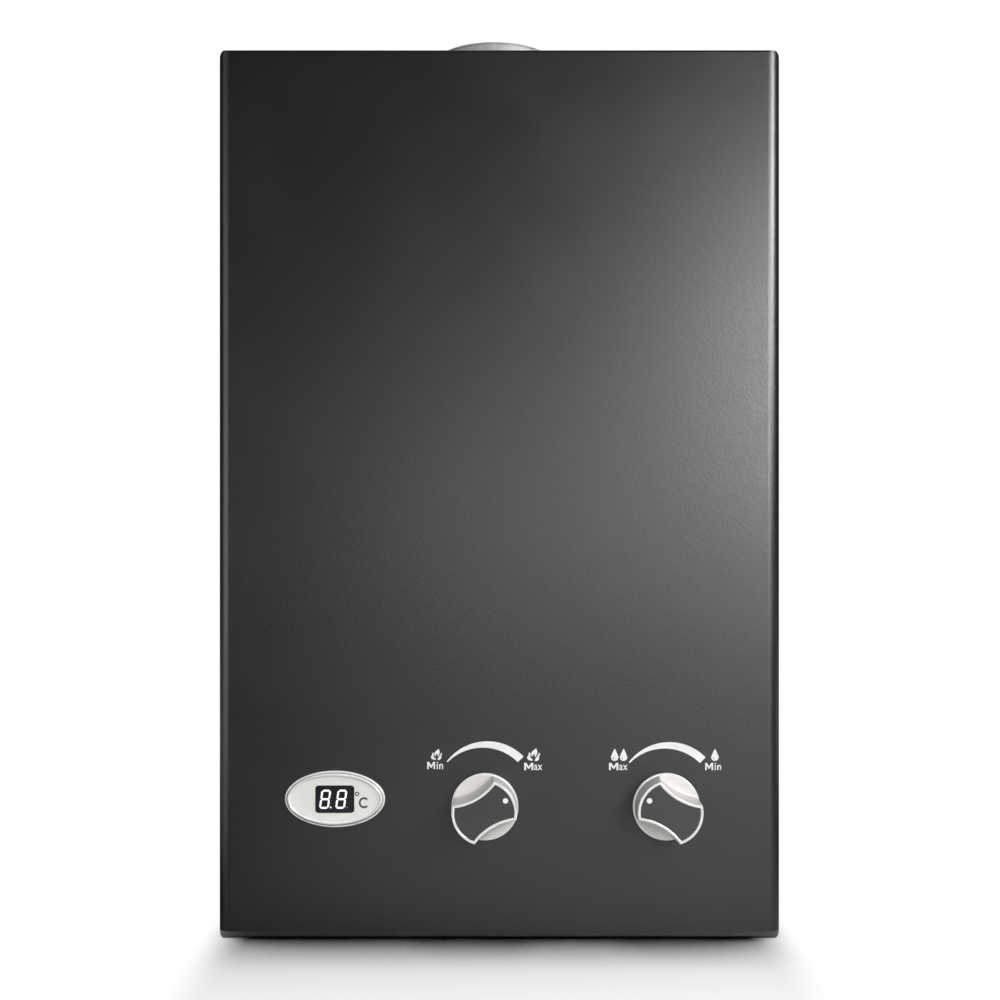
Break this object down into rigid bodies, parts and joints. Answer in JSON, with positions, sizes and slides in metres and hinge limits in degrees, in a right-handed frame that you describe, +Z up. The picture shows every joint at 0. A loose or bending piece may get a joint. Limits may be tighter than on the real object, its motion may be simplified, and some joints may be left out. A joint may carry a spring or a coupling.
{
  "type": "gas water heater",
  "caption": "Wall-hung instantaneous gas water heater: folded steel cover, bow-tie gas and water knobs, oval temperature display, round flue collar above and pipe stubs below.",
  "frame": {"origin": "under the middle of the whole outline, at the height of the cover's lower rim", "axes": "+X to the right of a viewer in front, +Y from the front face to the wall, +Z up"},
  "size_m": [0.3266, 0.174, 0.531],
  "materials": {
    "black_paint": "satin",
    "zinc_sheet": "satin",
    "collar_steel": "satin",
    "screw_steel": "satin",
    "copper": "satin",
    "brass": "satin",
    "cast_alloy": "matte",
    "plated_plastic": "satin",
    "spring_strip": "polished",
    "dark_plastic": "matte",
    "pale_plastic": "satin",
    "display_black": "gloss",
    "white_mark": "satin",
    "black_rubber": "matte",
    "circuit_board": "satin",
    "white_ceramic": "gloss"
  },
  "bodies": {
    "casing": {"front_cover": "black_paint", "back_panel": "zinc_sheet", "top_panel": "zinc_sheet", "bottom_shelf": "zinc_sheet", "casing_screws": "screw_steel", "flue_collar": "collar_steel", "collar_flange": "collar_steel", "draught_hood": "zinc_sheet", "combustion_chamber": "copper", "exchanger_fins": "copper", "exchanger_tubes": "copper", "chamber_coil": "copper", "side_brackets": "zinc_sheet", "burner_frame": "screw_steel", "burner_bars": "screw_steel", "gas_manifold": "cast_alloy", "injectors": "brass", "electrodes": "white_ceramic", "electrode_bracket": "zinc_sheet", "gas_valve_body": "cast_alloy", "solenoid_valve": "screw_steel", "gas_inlet_stub": "brass", "gas_riser": "cast_alloy", "water_valve_body": "brass", "cold_inlet_stub": "brass", "diaphragm_cover": "brass", "diaphragm": "black_rubber", "valve_screws": "screw_steel", "spindle_glands": "brass", "microswitch": "dark_plastic", "cold_pipe": "copper", "hot_pipe": "copper", "hot_outlet_stub": "brass", "lock_nuts": "brass", "union_nuts": "brass", "overheat_switch": "dark_plastic", "temperature_probe": "brass", "control_box": "dark_plastic", "battery_box": "dark_plastic", "battery_contacts": "spring_strip", "wiring_leads": "black_rubber", "display_bezel": "plated_plastic", "display_plate": "pale_plastic", "led_module": "display_black", "led_segments": "white_mark", "display_board": "circuit_board", "linkage_spring": "screw_steel"},
    "gas_control": {"gas_knob": "plated_plastic", "gas_knob_inlay": "dark_plastic", "gas_knob_pointer": "white_mark", "gas_spindle": "screw_steel"},
    "water_control": {"water_knob": "plated_plastic", "water_knob_inlay": "dark_plastic", "water_knob_pointer": "white_mark", "flow_spindle": "screw_steel"},
    "linkage": {"linkage_rod": "screw_steel", "poppet_seal": "black_rubber"},
    "switch_lever": {"microswitch_lever": "spring_strip"},
    "battery_cover": {"battery_lid": "dark_plastic"},
    "drain": {"drain_plug": "brass"}
  },
  "joints": [
    {"name": "gas_knob_turn", "type": "hinge", "parent": "casing", "child": "gas_control", "pos_m": [-0.0082, -0.063, 0.076], "axis": [0, 1, 0], "range_deg": [-120, 0]},
    {"name": "water_knob_turn", "type": "hinge", "parent": "casing", "child": "water_control", "pos_m": [0.0952, -0.063, 0.076], "axis": [0, 1, 0], "range_deg": [0, 120]},
    {"name": "linkage_slide", "type": "slide", "parent": "casing", "child": "linkage", "axis": [-1, 0, 0], "range_m": [0, 0.004], "stiffness_N_per_m": 600, "springref_m": -0.004, "deforming": ["linkage_spring", "diaphragm"]},
    {"name": "switch_lever_turn", "type": "hinge", "parent": "casing", "child": "switch_lever", "pos_m": [0.03395, 0.007, 0.103], "axis": [0, 1, 0], "range_deg": [0, 13]},
    {"name": "battery_lid_slide", "type": "slide", "parent": "casing", "child": "battery_cover", "axis": [0, -1, 0], "range_m": [0, 0.044]},
    {"name": "drain_plug_turn", "type": "hinge", "parent": "casing", "child": "drain", "pos_m": [0.1163, -0.0135, 0.04], "axis": [0, 0, -1], "range_deg": [0, 270]}
  ],
  "couplings": [
    {"joint": "switch_lever_turn", "follows": "linkage_slide", "rad_per_m": 47.6}
  ]
}
